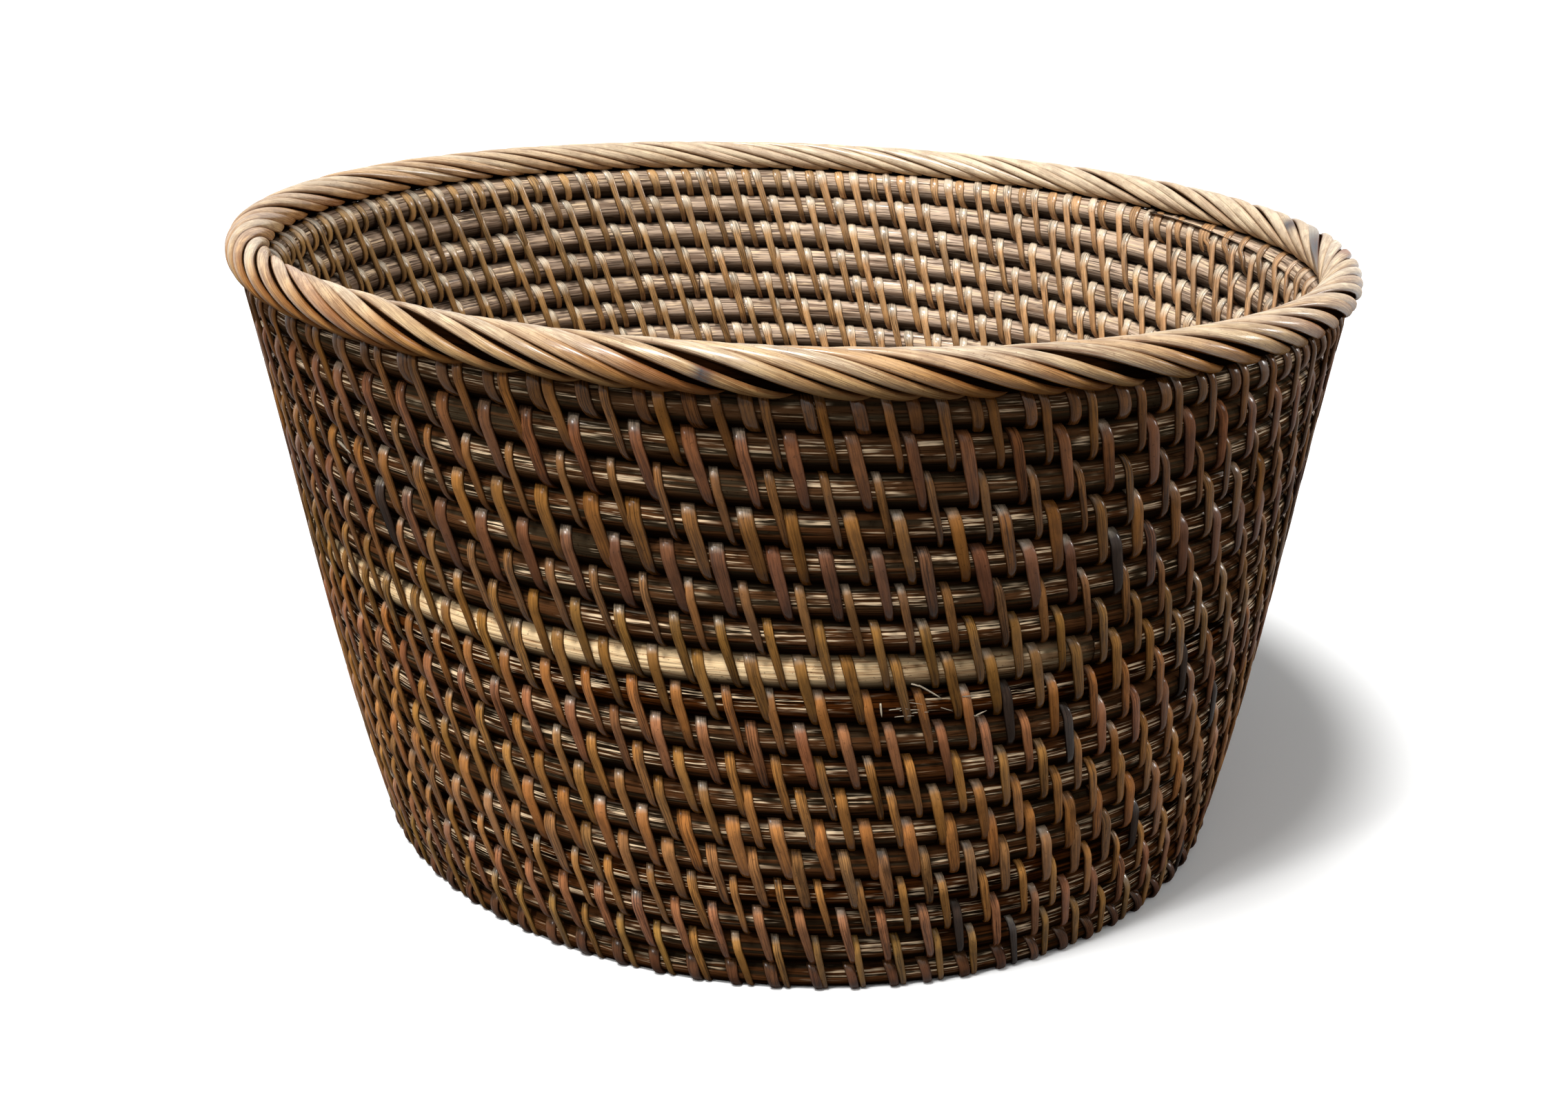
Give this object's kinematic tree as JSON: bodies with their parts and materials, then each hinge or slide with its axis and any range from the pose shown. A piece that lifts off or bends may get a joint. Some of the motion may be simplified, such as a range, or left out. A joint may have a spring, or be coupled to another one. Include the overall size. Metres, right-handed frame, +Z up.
{
  "type": "rattan cachepot",
  "caption": "Round, flared cachepot of coiled rattan rods laced turn on turn, with a slanting wrapped rim and an open top, to hold a plant pot.",
  "frame": {"origin": "on the floor, under the middle of the rim", "axes": "+Z up out of the open top, -Y towards the front that the picture shows, +X to its right"},
  "size_m": [0.28, 0.28, 0.1548],
  "materials": {
    "rod": "dark stained rattan rod, fibrous, half gloss",
    "light_rod": "pale unstained rattan rod, fibrous, half gloss",
    "strip": "honey brown split rattan strip, half gloss"
  },
  "bodies": {
    "root": {"base_rod_01": "rod", "base_rod_02": "rod", "base_rod_03": "rod", "base_rod_04": "rod", "base_rod_05": "rod", "wall_rod_01": "rod", "wall_rod_02": "rod", "wall_rod_03": "rod", "wall_rod_04": "rod", "wall_rod_05": "rod", "wall_rod_06": "rod", "wall_rod_07": "rod", "wall_rod_08": "light_rod", "wall_rod_09": "rod", "wall_rod_10": "rod", "wall_rod_11": "rod", "wall_rod_12": "rod", "wall_rod_13": "rod", "wall_rod_14": "rod", "rim_hoop": "rod", "rim_wrapping": "strip"}
  },
  "joints": []
}
